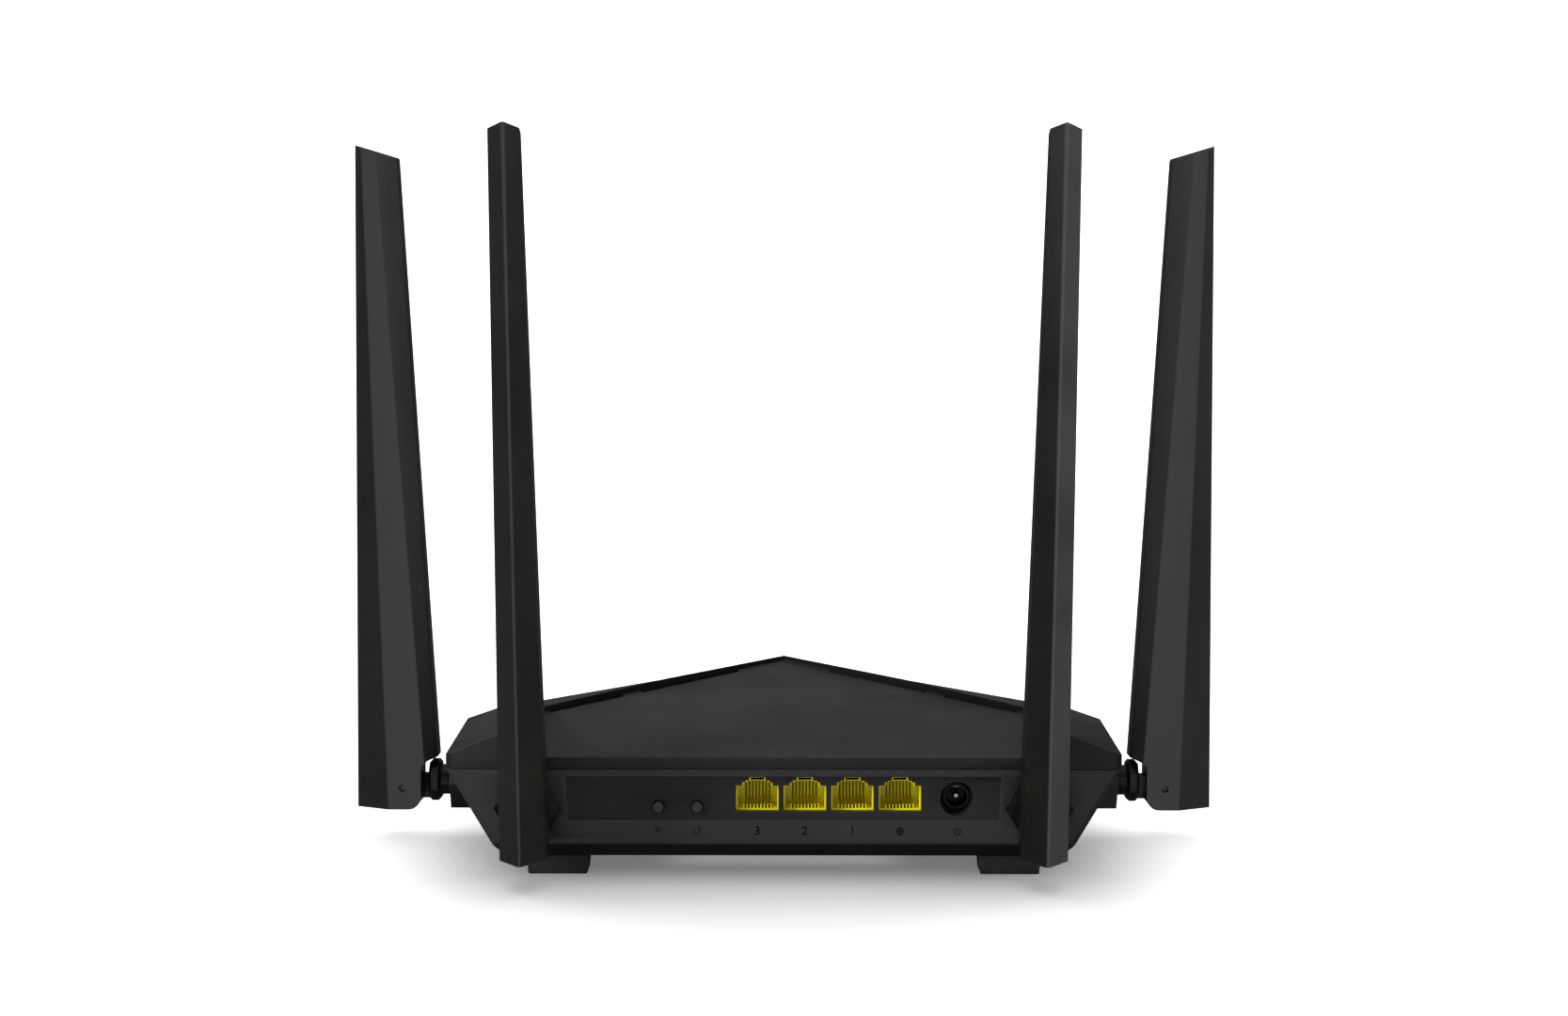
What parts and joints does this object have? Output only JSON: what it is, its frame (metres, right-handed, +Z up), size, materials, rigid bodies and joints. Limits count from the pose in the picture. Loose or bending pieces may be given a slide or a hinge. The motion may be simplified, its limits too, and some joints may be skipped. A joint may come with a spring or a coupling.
{
  "type": "wireless router",
  "caption": "Low faceted black desktop router with folding blade antennas at its rear and sides and a sunken rear panel of network sockets, buttons and a power inlet.",
  "frame": {"origin": "Middle of the whole footprint, on the plane the feet stand on.", "axes": "+Z up; +Y towards the sockets at the rear; the status lights face -Y; +X is to the right seen from the lights."},
  "size_m": [0.2766, 0.1698, 0.222],
  "materials": {
    "aluminium": "anodised",
    "antenna_black": "satin moulded",
    "black_shell": "fine matt texture",
    "board": "solder mask",
    "chip_black": "moulded epoxy",
    "clear_guide": "clear",
    "contact_gold": "plated",
    "crystal_can": "satin",
    "label": "printed film",
    "lead_jacket": "smooth",
    "radiator": "etched board",
    "rubber": "matt",
    "screw_steel": "plated",
    "socket_yellow": "moulded"
  },
  "bodies": {
    "housing": {"antenna_lead_rear_left": "lead_jacket", "antenna_lead_rear_right": "lead_jacket", "antenna_lead_side_left": "lead_jacket", "antenna_lead_side_right": "lead_jacket", "board_screws": "screw_steel", "capacitors": "chip_black", "case_screws": "screw_steel", "crystal": "crystal_can", "heat_sink": "aluminium", "inductors": "chip_black", "lan_contacts": "contact_gold", "lan_socket_block": "socket_yellow", "lead_plugs": "contact_gold", "light_guide": "clear_guide", "line_transformers": "chip_black", "lower_housing": "black_shell", "main_board": "board", "memory_chips": "chip_black", "power_contacts": "screw_steel", "power_socket": "black_shell", "processor": "chip_black", "push_switches": "chip_black", "radio_chips": "chip_black", "radio_shields": "screw_steel", "rating_label": "label", "rubber_feet": "rubber", "status_lights": "clear_guide", "thermal_pad": "rubber", "top_cover": "black_shell"},
    "blade_body_rear_left": {"antenna_cover_rear_left": "antenna_black", "antenna_shell_rear_left": "antenna_black", "hinge_pin_rear_left": "antenna_black", "radiator_rear_left": "radiator"},
    "blade_body_rear_right": {"antenna_cover_rear_right": "antenna_black", "antenna_shell_rear_right": "antenna_black", "hinge_pin_rear_right": "antenna_black", "radiator_rear_right": "radiator"},
    "blade_body_side_left": {"antenna_cover_side_left": "antenna_black", "antenna_shell_side_left": "antenna_black", "hinge_pin_side_left": "antenna_black", "radiator_side_left": "radiator"},
    "blade_body_side_right": {"antenna_cover_side_right": "antenna_black", "antenna_shell_side_right": "antenna_black", "hinge_pin_side_right": "antenna_black", "radiator_side_right": "radiator"},
    "reset_button_body": {"reset_button": "black_shell"},
    "swivel_body_rear_left": {"swivel_clip_rear_left": "screw_steel", "swivel_rear_left": "antenna_black"},
    "swivel_body_rear_right": {"swivel_clip_rear_right": "screw_steel", "swivel_rear_right": "antenna_black"},
    "swivel_body_side_left": {"swivel_clip_side_left": "screw_steel", "swivel_side_left": "antenna_black"},
    "swivel_body_side_right": {"swivel_clip_side_right": "screw_steel", "swivel_side_right": "antenna_black"},
    "wireless_button_body": {"wireless_button": "black_shell"}
  },
  "joints": [
    {"name": "wireless_button_press", "type": "slide", "parent": "housing", "child": "wireless_button_body", "axis": [0, -1, 0], "range_m": [0, 0.0005], "stiffness_N_per_m": 2000, "springref_m": -0.0003},
    {"name": "reset_button_press", "type": "slide", "parent": "housing", "child": "reset_button_body", "axis": [0, -1, 0], "range_m": [0, 0.0005], "stiffness_N_per_m": 2000, "springref_m": -0.0003},
    {"name": "rear_right_swivel", "type": "hinge", "parent": "housing", "child": "swivel_body_rear_right", "pos_m": [0.0763, 0.0541, 0.0175], "axis": [0, -1, 0], "range_deg": [-88.95, 36.05]},
    {"name": "rear_right_fold", "type": "hinge", "parent": "swivel_body_rear_right", "child": "blade_body_rear_right", "pos_m": [0.07626, 0.0695, 0.0156], "axis": [-0.9998, 0, 0.0183], "range_deg": [0, 90]},
    {"name": "rear_left_swivel", "type": "hinge", "parent": "housing", "child": "swivel_body_rear_left", "pos_m": [-0.0763, 0.0541, 0.0175], "axis": [0, 1, 0], "range_deg": [-88.95, 36.05]},
    {"name": "rear_left_fold", "type": "hinge", "parent": "swivel_body_rear_left", "child": "blade_body_rear_left", "pos_m": [-0.07626, 0.0695, 0.0156], "axis": [-0.9998, 0, -0.0183], "range_deg": [0, 90]},
    {"name": "side_right_swivel", "type": "hinge", "parent": "housing", "child": "swivel_body_side_right", "pos_m": [0.1075, -0.0169, 0.0175], "axis": [-1, 0, 0], "range_deg": [-90, 90]},
    {"name": "side_right_fold", "type": "hinge", "parent": "swivel_body_side_right", "child": "blade_body_side_right", "pos_m": [0.1229, -0.0169, 0.0156], "axis": [0, 1, 0], "range_deg": [0, 90]},
    {"name": "side_left_swivel", "type": "hinge", "parent": "housing", "child": "swivel_body_side_left", "pos_m": [-0.1075, -0.0169, 0.0175], "axis": [-1, 0, 0], "range_deg": [-90, 90]},
    {"name": "side_left_fold", "type": "hinge", "parent": "swivel_body_side_left", "child": "blade_body_side_left", "pos_m": [-0.1229, -0.0169, 0.0156], "axis": [0, -1, 0], "range_deg": [0, 90]}
  ]
}
